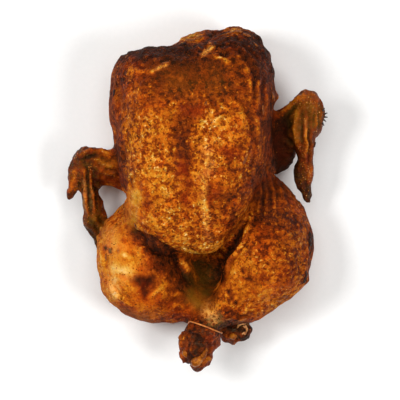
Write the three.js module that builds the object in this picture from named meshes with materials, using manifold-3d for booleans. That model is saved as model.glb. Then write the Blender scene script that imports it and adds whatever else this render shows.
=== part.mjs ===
// A whole roast chicken lying on its back, as it comes off the spit: breast up, wings hanging at its
// sides, legs crossed at the hocks and tied with a thin elastic band.
// Millimetres, +Z up, +Y towards the neck end, the origin on the table under the middle of the bird.
import * as THREE from "three";
import { mergeVertices } from "three/addons/utils/BufferGeometryUtils.js";
import Module from "manifold-3d";

const wasm = await Module();
wasm.setup();

const at = (x, y, z) => new THREE.Vector3(x, y, z);

// ---- Driving dimensions -------------------------------------------------------------------------
const TORSO_STEP = 7.8; // grid of the polygons on the torso
const LEG_STEP = 6.7;
const WING_STEP = 3.7;
const HOCK_STEP = 3.6;
const SHORTEST_EDGE = 1.6;

const BREAST_TOP = 99; // height of the breast above the table
const FILLET_HALF_WIDTH = 33; // one breast fillet
const FILLET_HEIGHT = 39;
const FILLET_LENGTH = 156;
const KEEL_X = -3;

const BAND_RADIUS = 0.9;
const BAND_PRESS = 0.3; // how deep it presses into the skin
const BAND_GAP = 0.35;
const BAND_STEPS = 44;
const FLOOR_DEPTH = 60;

// Joints of the limbs, on their bones' centre lines.
const RIGHT_LEG = { calf: at(46, -46, 44), ankle: at(7, -89, 47), hock: at(1, -112, 44) };
const LEFT_LEG = { calf: at(-38, -64, 38), ankle: at(4, -83, 32), hock: at(29, -98, 27) };
const RIGHT_WING = {
  shoulder: at(42, 53, 38),
  elbow: at(59, 27, 20),
  wrist: at(80, 67, 44),
  palm: at(78, 46, 41),
  knuckle: at(78, 22, 34),
  tip: at(80, -1, 25),
};
const LEFT_WING = {
  shoulder: at(-44, 58, 38),
  elbow: at(-50, 13, 22),
  wrist: at(-82, 30, 41),
  knuckle: at(-76, -15, 24),
  tip: at(-69, -38, 13),
};

// ---- Fields: a distance that is negative inside, with the box that it fills ----------------------
function ellipsoid(centre, radii, turnDeg = [0, 0, 0]) {
  const turn = new THREE.Euler(...turnDeg.map(THREE.MathUtils.degToRad));
  const inverse = new THREE.Matrix4().makeRotationFromEuler(turn).invert();
  const reach = Math.max(radii.x, radii.y, radii.z);
  const box = new THREE.Box3().setFromCenterAndSize(centre, at(2, 2, 2).multiplyScalar(reach));
  const local = at(0, 0, 0);
  const scaled = at(0, 0, 0);
  const value = (p) => {
    local.subVectors(p, centre).applyMatrix4(inverse);
    const shell = scaled.copy(local).divide(radii).length();
    const slope = scaled.divide(radii).length();
    return slope < 1e-9 ? -Math.min(radii.x, radii.y, radii.z) : (shell * (shell - 1)) / slope;
  };
  return { value, box };
}

// A limb from a to b whose radius changes from ra to rb; flat squeezes it along the unit vector thin.
function limb(a, b, ra, rb, flat = 1, thin = at(0, 0, 1)) {
  const axis = at(0, 0, 0).subVectors(b, a);
  const lengthSquared = axis.lengthSq();
  const box = new THREE.Box3().setFromPoints([a, b]).expandByScalar(Math.max(ra, rb));
  const offset = at(0, 0, 0);
  const value = (p) => {
    offset.subVectors(p, a);
    const t = THREE.MathUtils.clamp(offset.dot(axis) / lengthSquared, 0, 1);
    offset.addScaledVector(axis, -t);
    offset.addScaledVector(thin, offset.dot(thin) * (1 / flat - 1));
    return offset.length() - THREE.MathUtils.lerp(ra, rb, t);
  };
  return { value, box };
}

// A web of skin between three points.
function web(a, b, c, thickness) {
  const triangle = new THREE.Triangle(a, b, c);
  const box = new THREE.Box3().setFromPoints([a, b, c]).expandByScalar(thickness);
  const nearest = at(0, 0, 0);
  const value = (p) => triangle.closestPointToPoint(p, nearest).distanceTo(p) - thickness / 2;
  return { value, box };
}

function softMin(a, b, blend) {
  const h = Math.max(blend - Math.abs(a - b), 0) / blend;
  return Math.min(a, b) - (h * h * blend) / 4;
}

// Flesh melted together, over a blend of that many millimetres.
function melt(blend, ...fields) {
  const box = fields.reduce((all, f) => all.union(f.box), new THREE.Box3());
  const value = (p) => fields.reduce((d, f) => softMin(d, f.value(p), blend), Infinity);
  return { value, box };
}

function hollow(blend, field, ...cuts) {
  const value = (p) => cuts.reduce((d, c) => -softMin(-d, c.value(p), blend), field.value(p));
  return { value, box: field.box };
}

// Slow waves of the skin, so that no part is a perfect egg.
function uneven(height, wavelength, field) {
  const k = (2 * Math.PI) / wavelength;
  const value = (p) =>
    field.value(p) +
    height * Math.sin(k * (p.x + 0.6 * p.z)) * Math.sin(k * (0.9 * p.y - 0.4 * p.z) + 1);
  return { value, box: field.box };
}

// ---- Surface: one vertex in each grid cell that the surface crosses, pulled onto the surface -----
function skinOf(field, step) {
  const box = field.box.clone().expandByScalar(2 * step);
  const count = box.getSize(at(0, 0, 0)).divideScalar(step).ceil().addScalar(1);
  const [nx, ny, nz] = count.toArray();
  const corner = (i, j, k) => (k * ny + j) * nx + i;
  const place = (i, j, k) => at(i, j, k).multiplyScalar(step).add(box.min);
  const values = new Float32Array(nx * ny * nz);
  for (let k = 0; k < nz; k++)
    for (let j = 0; j < ny; j++)
      for (let i = 0; i < nx; i++) values[corner(i, j, k)] = field.value(place(i, j, k));

  const points = [];
  const cellPoint = new Int32Array(nx * ny * nz).fill(-1);
  for (let k = 0; k < nz - 1; k++)
    for (let j = 0; j < ny - 1; j++)
      for (let i = 0; i < nx - 1; i++) {
        const sum = at(0, 0, 0);
        let crossings = 0;
        for (const [[ai, aj, ak], [bi, bj, bk]] of CELL_EDGES) {
          const va = values[corner(i + ai, j + aj, k + ak)];
          const vb = values[corner(i + bi, j + bj, k + bk)];
          if (va < 0 === vb < 0) continue;
          const a = place(i + ai, j + aj, k + ak);
          sum.add(a.lerp(place(i + bi, j + bj, k + bk), va / (va - vb)));
          crossings += 1;
        }
        if (!crossings) continue;
        cellPoint[corner(i, j, k)] = points.length;
        points.push(drawnTo(field, sum.divideScalar(crossings), 0.35 * step));
      }

  const faces = [];
  const quad = (a, b, c, d, turned) => {
    const split = points[a].distanceTo(points[c]) < points[b].distanceTo(points[d]);
    const halves = split ? [[a, b, c], [a, c, d]] : [[a, b, d], [b, c, d]];
    for (const [p, q, r] of halves) faces.push(...(turned ? [p, r, q] : [p, q, r]));
  };
  for (let k = 1; k < nz - 1; k++)
    for (let j = 1; j < ny - 1; j++)
      for (let i = 1; i < nx - 1; i++) {
        const inside = values[corner(i, j, k)] < 0;
        for (const [[di, dj, dk], [ui, uj, uk], [vi, vj, vk]] of GRID_AXES) {
          if (values[corner(i + di, j + dj, k + dk)] < 0 === inside) continue;
          const around = [[ui + vi, uj + vj, uk + vk], [vi, vj, vk], [0, 0, 0], [ui, uj, uk]];
          const cells = around.map(([a, b, c]) => cellPoint[corner(i - a, j - b, k - c)]);
          quad(...cells, !inside);
        }
      }
  return new THREE.BufferGeometry().setFromPoints(points).setIndex(faces);
}

const CELL_CORNERS = [0, 1, 2, 3, 4, 5, 6, 7].map((n) => [n & 1, (n >> 1) & 1, n >> 2]);
const CELL_EDGES = CELL_CORNERS.flatMap((a) =>
  CELL_CORNERS.filter((b) => b.every((v, n) => v >= a[n]) && b[0] + b[1] + b[2] === a[0] + a[1] + a[2] + 1)
    .map((b) => [a, b]),
);
const GRID_AXES = [
  [[1, 0, 0], [0, 1, 0], [0, 0, 1]],
  [[0, 1, 0], [0, 0, 1], [1, 0, 0]],
  [[0, 0, 1], [1, 0, 0], [0, 1, 0]],
];

// Moves a point along the field's slope until it lies on the surface, and no further than reach.
function drawnTo(field, start, reach) {
  const probe = 0.1;
  const p = start.clone();
  for (let round = 0; round < 3; round++) {
    const here = field.value(p);
    const slope = at(
      field.value(p.clone().setX(p.x + probe)) - here,
      field.value(p.clone().setY(p.y + probe)) - here,
      field.value(p.clone().setZ(p.z + probe)) - here,
    ).divideScalar(probe);
    if (slope.lengthSq() < 0.05) break;
    p.addScaledVector(slope, -here / slope.lengthSq());
  }
  return p.sub(start).clampLength(0, reach).add(start);
}

// ---- Between three.js geometry and manifold-3d solids ---------------------------------------------
function solid(geometry) {
  const bare = geometry.index ? geometry : mergeVertices(geometry);
  for (const name of ["normal", "uv"]) bare.deleteAttribute(name);
  const merged = mergeVertices(bare, 1e-4);
  return new wasm.Manifold(
    new wasm.Mesh({
      numProp: 3,
      vertProperties: new Float32Array(merged.attributes.position.array),
      triVerts: new Uint32Array(merged.index.array),
    }),
  );
}

function geometryOf(body) {
  const mesh = body.getMesh();
  return new THREE.BufferGeometry()
    .setAttribute("position", new THREE.BufferAttribute(mesh.vertProperties, 3))
    .setIndex(new THREE.BufferAttribute(mesh.triVerts, 1));
}

// Collapses edges shorter than that many millimetres, such as the slivers that a join leaves. A vertex
// on the table stays on it, and no edge goes whose collapse would fold the skin or pinch it.
function withoutSlivers(body, shortest) {
  const mesh = body.getMesh();
  const points = [];
  for (let i = 0; i < mesh.vertProperties.length; i += 3)
    points.push(new THREE.Vector3().fromArray(mesh.vertProperties, i));
  const faces = [];
  for (let i = 0; i < mesh.triVerts.length; i += 3) faces.push([...mesh.triVerts.subarray(i, i + 3)]);
  const around = points.map(() => new Set());
  faces.forEach((face, f) => face.forEach((v) => around[v].add(f)));
  const neighbours = (v) => new Set([...around[v]].flatMap((f) => faces[f]).filter((w) => w !== v));
  const normalOf = (corners) => new THREE.Triangle(...corners).getNormal(at(0, 0, 0));
  const onTable = (v) => Math.abs(points[v].z) < 1e-4;
  const folds = (moving, other, target) =>
    [...around[moving]].some((f) => {
      if (faces[f].includes(other)) return false;
      const before = normalOf(faces[f].map((v) => points[v]));
      const after = normalOf(faces[f].map((v) => (v === moving ? target : points[v])));
      return before.dot(after) < 0.5;
    });

  const collapsed = (a, b) => {
    const shared = [...neighbours(a)].filter((v) => neighbours(b).has(v));
    if (shared.length !== 2) return false;
    const target = points[a].clone().lerp(points[b], 0.5);
    if (onTable(a) !== onTable(b)) target.copy(onTable(a) ? points[a] : points[b]);
    if (folds(a, b, target) || folds(b, a, target)) return false;
    points[a].copy(target);
    for (const f of around[b]) {
      if (faces[f].includes(a)) {
        for (const v of faces[f]) around[v].delete(f);
        faces[f] = null;
      } else {
        faces[f] = faces[f].map((v) => (v === b ? a : v));
        around[a].add(f);
      }
    }
    around[b].clear();
    return true;
  };
  for (let limit = shortest / 8; limit <= shortest; limit *= 2)
    for (let f = 0; f < faces.length; f++)
      for (let side = 0; faces[f] && side < 3; side++) {
        const [a, b] = [faces[f][side], faces[f][(side + 1) % 3]];
        if (points[a].distanceTo(points[b]) < limit) collapsed(a, b);
      }
  const kept = faces.filter((face) => face).flat();
  return new THREE.BufferGeometry().setFromPoints(points).setIndex(kept);
}

// ---- The bird's parts -----------------------------------------------------------------------------
// The vent: the hollow that opens between the legs, under the tip of the breast.
function vent() {
  return melt(
    6,
    limb(at(7, -58, 78), at(6, -54, 34), 12.5, 12),
    limb(at(4, -42, 42), at(3, -22, 38), 12, 10.5),
    limb(at(6, -62, 46), at(6, -74, 58), 9, 8),
    limb(at(-10, -46, 54), at(-38, -27, 68), 8, 3), // between the breast and the left thigh
  );
}

function torso() {
  const fillet = (x, y, turnDeg) =>
    ellipsoid(
      at(KEEL_X + x, y, BREAST_TOP - FILLET_HEIGHT),
      at(FILLET_HALF_WIDTH, FILLET_LENGTH / 2, FILLET_HEIGHT),
      [0, 0, turnDeg],
    );
  const flesh = melt(
    12,
    fillet(-21, 33, 2),
    fillet(21, 38, -12),
    ellipsoid(at(-4, 48, 35), at(56, 67, 36)), // back and ribs
    ellipsoid(at(43, 26, 34), at(11, 34, 25)), // right flank
    ellipsoid(at(-36, 78, 47), at(25.5, 27, 34)), // left shoulder
    ellipsoid(at(-46, 86, 43), at(15, 16.5, 24)),
    ellipsoid(at(25, 85, 49), at(28, 33, 38)), // right shoulder
    ellipsoid(at(37, 96, 44), at(15.5, 22, 27)),
    ellipsoid(at(-6, 78, 58), at(34, 30, 33)), // skin drawn over the wishbone
    limb(at(5, 36, 83), at(5, -27, 61), 12, 12), // keel and its tip
    ellipsoid(at(-38, -4, 48), at(10, 22, 20), [0, 0, 12]), // fold of skin beside the left fillet
    ellipsoid(at(2, -30, 24), at(44, 52, 25)), // belly and hips
    ellipsoid(at(6, -72, 14), at(14, 14, 10)), // tail
  );
  return uneven(0.8, 46, hollow(6, flesh, vent()));
}

function neckEnd() {
  return melt(
    6,
    ellipsoid(at(12, 99, 36), at(30, 21, 27)),
    ellipsoid(at(-5, 109, 42), at(9, 8.5, 8)),
    ellipsoid(at(28, 114, 34), at(12, 10, 10)),
  );
}

function rightLeg() {
  const { calf, ankle } = RIGHT_LEG;
  const flesh = melt(
    10,
    ellipsoid(at(50, -42, 37), at(31, 37, 33), [0, 0, 12]), // thigh
    ellipsoid(at(55, -11, 33), at(19, 28, 26), [0, 0, 16]), // its top, beside the breast
    ellipsoid(at(64, -38, 26), at(17, 27, 20)), // loose skin of the thigh
    limb(calf, ankle, 25, 10),
    ellipsoid(at(35, -77, 38), at(20, 13.5, 17), [0, 0, 16]),
  );
  return uneven(0.8, 38, hollow(5, flesh, vent()));
}

function leftLeg() {
  const { calf, ankle } = LEFT_LEG;
  const flesh = melt(
    10,
    ellipsoid(at(-43, -43, 35), at(28.5, 36, 32), [0, 0, 6]), // thigh
    ellipsoid(at(-53, -24, 30), at(13, 23, 22), [0, 0, -30]),
    limb(calf, ankle, 27.5, 10),
  );
  return uneven(0.8, 38, hollow(5, flesh, vent()));
}

function rightHock() {
  const { ankle, hock } = RIGHT_LEG;
  return melt(
    4,
    limb(ankle, hock, 11, 11),
    ellipsoid(at(-8, -105, 43), at(6, 7, 8)),
    ellipsoid(at(0, -118, 43), at(6.5, 7, 7)), // knuckle of bone
    ellipsoid(at(-9, -113, 41), at(4.5, 4.5, 6)),
    ellipsoid(at(10, -103, 42), at(8.5, 9, 8)),
  );
}

function leftHock() {
  const { ankle, hock } = LEFT_LEG;
  return melt(
    3,
    limb(ankle, hock, 8, 6.5),
    ellipsoid(at(26, -100, 26), at(5.5, 5.8, 7)),
    ellipsoid(at(34, -96, 27), at(6, 6, 7)),
  );
}

function rightWing() {
  const { shoulder, elbow, wrist, palm, knuckle, tip } = RIGHT_WING;
  return melt(
    5,
    limb(shoulder, elbow, 14, 9),
    limb(elbow, wrist, 8, 8),
    web(shoulder, elbow, wrist, 8),
    limb(wrist, palm, 9.5, 8, 0.8),
    limb(palm, knuckle, 7.5, 4.5, 0.8),
    ellipsoid(at(77.5, 16, 32), at(6.3, 9, 5)),
    limb(knuckle, tip, 4.5, 2.2),
    limb(at(86, 64, 42), at(86.5, 49, 37), 5.8, 4.8), // thumb
  );
}

function leftWing() {
  const { shoulder, elbow, wrist, knuckle, tip } = LEFT_WING;
  return melt(
    4,
    limb(shoulder, elbow, 14, 9),
    limb(elbow, wrist, 9, 6),
    web(at(-50, 30, 42), at(-52, 8, 26), at(-76, 14, 34), 6),
    web(at(-50, 30, 42), at(-76, 14, 34), wrist, 7),
    limb(at(-48, 32, 46), wrist, 4, 4.8), // leading edge
    limb(wrist, knuckle, 5, 6.5, 0.8),
    limb(knuckle, tip, 6.5, 4, 0.7),
    limb(at(-78, 22, 36), at(-70, -14, 20), 4, 4), // trailing edge
    limb(at(-87, 28, 38), at(-91.5, 5, 31), 4.4, 3.6), // thumb
  );
}

function hipFlap() {
  return ellipsoid(at(77, -42, 20), at(8, 21, 4.2), [0, 8, 4]);
}

// ---- The band that ties the legs ------------------------------------------------------------------
// It crosses over the right shank and under the left one. Each round pulls the line straighter between
// its neighbours and pushes it back out where it would sink into the skin.
function bandLine() {
  const shanks = melt(4, rightLeg(), leftLeg(), rightHock(), leftHock());
  const lift = BAND_RADIUS - BAND_PRESS;
  const lifted = { value: (p) => shanks.value(p) - lift, box: shanks.box };
  const route = [
    at(6, -92, 60),
    at(14, -96, 56),
    at(18, -98, 46),
    at(19, -100, 36),
    at(17, -98, 24),
    at(9, -90, 20),
    at(0, -86, 20),
    at(-6, -92, 29),
    at(-6, -89, 44),
    at(-3, -89, 54),
  ];
  let line = new THREE.CatmullRomCurve3(route, true).getSpacedPoints(BAND_STEPS).slice(1);
  for (let round = 0; round < 12; round++)
    line = line.map((point, n) => {
      const middle = line.at(n - 1).clone().lerp(line[(n + 1) % line.length], 0.5).lerp(point, 0.3);
      return lifted.value(middle) < 0 || round < 2 ? drawnTo(lifted, middle, 8) : middle;
    });
  return new THREE.CatmullRomCurve3(line, true);
}

const bandTube = (radius) => new THREE.TubeGeometry(bandLine(), BAND_STEPS, radius, 6, true);

// ---- Assembly ---------------------------------------------------------------------------------------
function chicken() {
  const parts = [
    [torso(), TORSO_STEP],
    [neckEnd(), TORSO_STEP],
    [rightLeg(), LEG_STEP],
    [leftLeg(), LEG_STEP],
    [rightHock(), HOCK_STEP],
    [leftHock(), HOCK_STEP],
    [rightWing(), WING_STEP],
    [leftWing(), WING_STEP],
    [hipFlap(), WING_STEP],
  ];
  const whole = parts.map(([field, step]) => solid(skinOf(field, step))).reduce((a, b) => a.add(b));
  const floor = new THREE.BoxGeometry(600, 600, FLOOR_DEPTH).translate(0, 0, -FLOOR_DEPTH / 2);
  const resting = solid(withoutSlivers(whole.subtract(solid(floor)), SHORTEST_EDGE));
  return geometryOf(resting.subtract(solid(bandTube(BAND_RADIUS + BAND_GAP))));
}

function mesh(name, geometry, color, roughness) {
  const made = new THREE.Mesh(geometry, new THREE.MeshStandardMaterial({ color, roughness, metalness: 0 }));
  made.name = name;
  return made;
}

const roastChicken = new THREE.Group();
roastChicken.add(
  mesh("roast_chicken", chicken(), 0xa5561a, 0.45),
  mesh("truss_band", bandTube(BAND_RADIUS), 0xd9a468, 0.5),
);

// The limbs decide where the middle is, so the origin is set last.
const middle = new THREE.Box3().setFromObject(roastChicken, true).getCenter(at(0, 0, 0));
roastChicken.position.set(-middle.x, -middle.y, 0);

export default roastChicken;
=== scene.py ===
import math
import bpy
import bmesh
import numpy as np
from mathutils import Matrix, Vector


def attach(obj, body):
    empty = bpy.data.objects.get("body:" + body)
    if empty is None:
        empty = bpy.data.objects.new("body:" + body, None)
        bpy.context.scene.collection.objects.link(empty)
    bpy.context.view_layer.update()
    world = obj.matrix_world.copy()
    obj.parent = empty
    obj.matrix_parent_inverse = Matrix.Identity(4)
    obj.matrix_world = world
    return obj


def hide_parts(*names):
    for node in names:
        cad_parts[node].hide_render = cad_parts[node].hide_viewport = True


# A whole roast chicken on its back, breast up. Sizes and places are in millimetres from the frame's
# origin, under the middle of the bird: +Y towards the neck end, +Z up.

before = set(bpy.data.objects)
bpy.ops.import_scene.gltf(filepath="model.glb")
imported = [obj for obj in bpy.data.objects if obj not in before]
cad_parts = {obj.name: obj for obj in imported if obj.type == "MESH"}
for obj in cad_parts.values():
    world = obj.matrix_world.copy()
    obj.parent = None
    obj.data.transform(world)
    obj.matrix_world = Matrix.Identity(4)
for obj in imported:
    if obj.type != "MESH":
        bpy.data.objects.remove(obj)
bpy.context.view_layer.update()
MM = 0.001

BIRD = "roast_chicken"
BAND = "truss_band"
VOXEL = 1.22  # grid of the skin's fine mesh
HOCK_Y = -92.0  # below this line the shanks end in their knuckles
MIDDLE_X = 4  # the gap between the legs
WARM_SHEEN = (1.0, 0.62, 0.32, 1)


# ---- Camera, light and floor ----------------------------------------------------------------------
def place_camera():
    data = bpy.data.cameras.new("overhead")
    data.sensor_width = 36.0
    height = 2.2
    widest_level = 0.04
    field = 290.7 * MM  # what the view takes in at the bird's widest level
    data.lens = data.sensor_width * (height - widest_level) / field
    camera = bpy.data.objects.new("overhead", data)
    camera.location = (3.7 * MM, -0.7 * MM, height)
    bpy.context.scene.collection.objects.link(camera)
    bpy.context.scene.camera = camera


def softbox(name, place, size, power, aim=(0, 0, 0.04)):
    data = bpy.data.lights.new(name, "AREA")
    data.size = size
    data.energy = power
    light = bpy.data.objects.new(name, data)
    light.location = place
    light.rotation_euler = (Vector(aim) - Vector(place)).to_track_quat("-Z", "Y").to_euler()
    bpy.context.scene.collection.objects.link(light)


def dim_room_with_white_walls():
    """The room adds little light of its own, but what is seen of it is white."""
    world = bpy.data.worlds.new("studio")
    world.use_nodes = True
    nodes = world.node_tree.nodes
    background = nodes["Background"]
    background.inputs["Color"].default_value = (1.0, 0.98, 0.95, 1)
    seen = nodes.new("ShaderNodeLightPath").outputs["Is Camera Ray"]
    strength = nodes.new("ShaderNodeMapRange")
    strength.inputs["To Min"].default_value = 0.09
    strength.inputs["To Max"].default_value = 0.95
    world.node_tree.links.new(seen, strength.inputs["Value"])
    world.node_tree.links.new(strength.outputs["Result"], background.inputs["Strength"])
    return world


def light_studio():
    softbox("key_left", (-0.75, 0.15, 1.15), 0.45, 12)
    softbox("fill_right", (0.8, -0.25, 1.2), 0.50, 11)
    softbox("overhead_panel", (0.0, 0.35, 1.6), 0.9, 9)
    bpy.context.scene.world = dim_room_with_white_walls()
    bpy.context.scene.view_settings.view_transform = "Standard"


def lay_floor():
    mesh = bpy.data.meshes.new("floor")
    reach = 1.5
    corners = [(-reach, -reach, 0), (reach, -reach, 0), (reach, reach, 0), (-reach, reach, 0)]
    mesh.from_pydata(corners, [], [(0, 1, 2, 3)])
    floor = bpy.data.objects.new("floor", mesh)
    bpy.context.scene.collection.objects.link(floor)
    material = Material("pale_floor")
    grain = material.noise(material.place, wavelength=3.0, detail=2)
    material.finish(
        color=material.mix(grain, (0.88, 0.88, 0.87), (0.92, 0.92, 0.91)),
        roughness=grain * 0.1 + 0.6,
    )
    mesh.materials.append(material.made)


# ---- Shader maths -----------------------------------------------------------------------------------
class Wire:
    """A socket of a node tree; arithmetic on it adds Math nodes."""

    def __init__(self, nodes, socket):
        self.nodes = nodes
        self.socket = socket

    def _math(self, operation, *values):
        return self.nodes.node("ShaderNodeMath", {"operation": operation}, *values)

    def __add__(self, other):
        return self._math("ADD", self, other)

    def __sub__(self, other):
        return self._math("SUBTRACT", self, other)

    def __mul__(self, other):
        return self._math("MULTIPLY", self, other)

    def __rsub__(self, other):
        return self._math("SUBTRACT", other, self)

    __radd__ = __add__
    __rmul__ = __mul__

    def clamped(self):
        return self._math("MINIMUM", self._math("MAXIMUM", self, 0.0), 1.0)

    def step(self, low, high):
        """0 at low, 1 at high, smooth between; falls when low is above high."""
        settings = {"interpolation_type": "SMOOTHSTEP"}
        if low <= high:
            return self.nodes.node("ShaderNodeMapRange", settings, self, low, high, 0.0, 1.0)
        return self.nodes.node("ShaderNodeMapRange", settings, self, high, low, 1.0, 0.0)


class Nodes:
    """A node tree being built: settings are set first, then the sockets in order or by name."""

    def __init__(self, tree):
        self.tree = tree

    def node(self, kind, settings=None, *values, out=0, **named):
        made = self.tree.nodes.new(kind)
        for key, value in (settings or {}).items():
            if key == "stops":
                self._ramp(made.color_ramp, value)
            else:
                setattr(made, key, value)
        enabled = [socket for socket in made.inputs if socket.enabled]
        for socket, value in [*zip(enabled, values), *((made.inputs[k], v) for k, v in named.items())]:
            if isinstance(value, Wire):
                self.tree.links.new(value.socket, socket)
            elif value is not None:
                socket.default_value = value
        return Wire(self, made.outputs[out])

    @staticmethod
    def _ramp(ramp, stops):
        while len(ramp.elements) < len(stops):
            ramp.elements.new(1.0)
        for element, (position, color) in zip(ramp.elements, stops):
            element.position = position
            element.color = (*color, 1)

    def noise(self, place, wavelength, detail=2.0, rough=0.5, distortion=0.0, out="Fac"):
        return self.node(
            "ShaderNodeTexNoise", {}, out=out, Vector=place, Scale=1 / wavelength, Detail=detail,
            Roughness=rough, Distortion=distortion,
        )


class Material(Nodes):
    """A Principled material whose patterns read Object coordinates, in millimetres."""

    def __init__(self, name):
        self.made = bpy.data.materials.new(name)
        self.made.use_nodes = True
        super().__init__(self.made.node_tree)
        self.shader = self.tree.nodes["Principled BSDF"]
        metres = self.node("ShaderNodeTexCoord", out="Object")
        self.place = self.node("ShaderNodeVectorMath", {"operation": "SCALE"}, metres, Scale=1 / MM)

    def ramp(self, factor, stops):
        return self.node("ShaderNodeValToRGB", {"stops": stops}, factor)

    def cells(self, place, spacing, out="Distance"):
        return self.node("ShaderNodeTexVoronoi", {"feature": "F1"}, out=out, Vector=place, Scale=1 / spacing)

    def channel(self, attribute, index):
        color = self.node("ShaderNodeAttribute", {"attribute_name": attribute}, out="Color")
        return self.node("ShaderNodeSeparateColor", {}, color, out=index)

    def shifted(self, place, by, amount):
        scaled = self.node("ShaderNodeVectorMath", {"operation": "SCALE"}, by, Scale=amount)
        return self.node("ShaderNodeVectorMath", {"operation": "ADD"}, place, scaled)

    def mix(self, factor, first, second, blend="MIX"):
        colors = [(*value, 1) if isinstance(value, tuple) else value for value in (first, second)]
        settings = {"data_type": "RGBA", "blend_type": blend}
        return self.node("ShaderNodeMix", settings, factor, *colors, out=2)

    def finish(self, color, roughness, height=None, constants=None):
        """Wires the shader: height is the bump in millimetres, constants are the plain sockets."""
        wires = {"Base Color": color, "Roughness": roughness}
        if height is not None:
            wires["Normal"] = self.node("ShaderNodeBump", {}, Strength=1.0, Distance=MM, Height=height)
        for name, wire in wires.items():
            self.tree.links.new(wire.socket, self.shader.inputs[name])
        for name, value in (constants or {}).items():
            self.shader.inputs[name].default_value = value


# ---- Patterns worked out on points ------------------------------------------------------------------
def chance(cells, seed):
    """A fixed random number from 0 to 1 for each whole-numbered cell."""
    mixed = cells[..., 0] * 73856093 ^ cells[..., 1] * 19349663 ^ cells[..., 2] * 83492791
    mixed = (mixed ^ seed * 2654435761) & 0xFFFFFFFF
    mixed = ((mixed ^ mixed >> 15) * 2246822519) & 0xFFFFFFFF
    mixed = ((mixed ^ mixed >> 13) * 3266489917) & 0xFFFFFFFF
    return (mixed ^ mixed >> 16) / 0xFFFFFFFF


def waves(points, wavelength, seed):
    """Soft random waves from -1 to 1; wavelength may be one number or one for each axis."""
    place = points / np.asarray(wavelength, float) + 0.37 * seed
    cell = np.floor(place).astype(np.int64)
    part = place - cell
    part = part * part * (3 - 2 * part)
    total = np.zeros(len(points))
    for corner in np.ndindex(2, 2, 2):
        weight = np.prod(np.where(corner, part, 1 - part), axis=1)
        total += weight * chance(cell + corner, seed)
    return 2 * total - 1


def crinkles(points, wavelength, seed):
    """Sharp-crested ridges, 1 on a crest and about 0 between."""
    return (1 - np.abs(waves(points, wavelength, seed)) * 2.2).clip(0, 1)


def pores(points, spacing, seed):
    """The distance to the nearest of many scattered pores, in spacings, and that pore's own chance."""
    place = points / spacing
    cell = np.floor(place).astype(np.int64)
    nearest = np.full(len(points), 9.0)
    own = np.zeros(len(points))
    for around in np.ndindex(3, 3, 3):
        neighbour = cell + np.array(around) - 1
        offset = np.stack([chance(neighbour, seed + n) for n in range(3)], axis=1)
        distance = np.linalg.norm(neighbour + offset - place, axis=1)
        closer = distance < nearest
        nearest = np.where(closer, distance, nearest)
        own = np.where(closer, chance(neighbour, seed + 7), own)
    return nearest, own


def rising(value, low, high):
    t = ((value - low) / (high - low)).clip(0, 1)
    return t * t * (3 - 2 * t)


def beside(points, route):
    """How far each point is from a route, and how far along it. A flat route is seen from above, and
    the distance is then negative on its right."""
    route = np.asarray(route, float)
    size = route.shape[1]
    place = points[:, :size]
    away = np.full(len(points), 1e9)
    side = np.ones(len(points))
    along = np.zeros(len(points))
    lengths = np.linalg.norm(np.diff(route, axis=0), axis=1)
    before = np.concatenate([[0], np.cumsum(lengths)])
    for n, (a, b) in enumerate(zip(route[:-1], route[1:])):
        run = b - a
        t = ((place - a) @ run / (run @ run)).clip(0, 1)
        offset = place - a - t[:, None] * run
        distance = np.linalg.norm(offset, axis=1)
        closer = distance < away
        away = np.where(closer, distance, away)
        along = np.where(closer, (before[n] + t * lengths[n]) / before[-1], along)
        if size == 2:
            cross = run[0] * offset[:, 1] - run[1] * offset[:, 0]
            side = np.where(closer, np.where(cross < 0, -1, 1), side)
    return away * side, along


def dab(points, width, route):
    """1 on a route seen from above, fading to 0 over about its width; a route may be one point."""
    if len(route) == 1:
        away = np.linalg.norm(points[:, :2] - np.asarray(route[0], float), axis=1)
    else:
        away = np.abs(beside(points, route)[0])
    return np.exp(-((away / width) ** 2))


def fold(points, height, width, route):
    """A fold of skin along a route, with a crease on its left; a negative height is a plain groove."""
    away, along = beside(points, route)
    taper = np.sqrt(np.sin(np.pi * along.clip(0.02, 0.98)))
    ridge = np.exp(-((away / width) ** 2))
    if height < 0:
        return height * taper * ridge
    crease = np.exp(-(((away - 1.8 * width) / width) ** 2))
    return height * taper * (ridge - 0.7 * crease)


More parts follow.
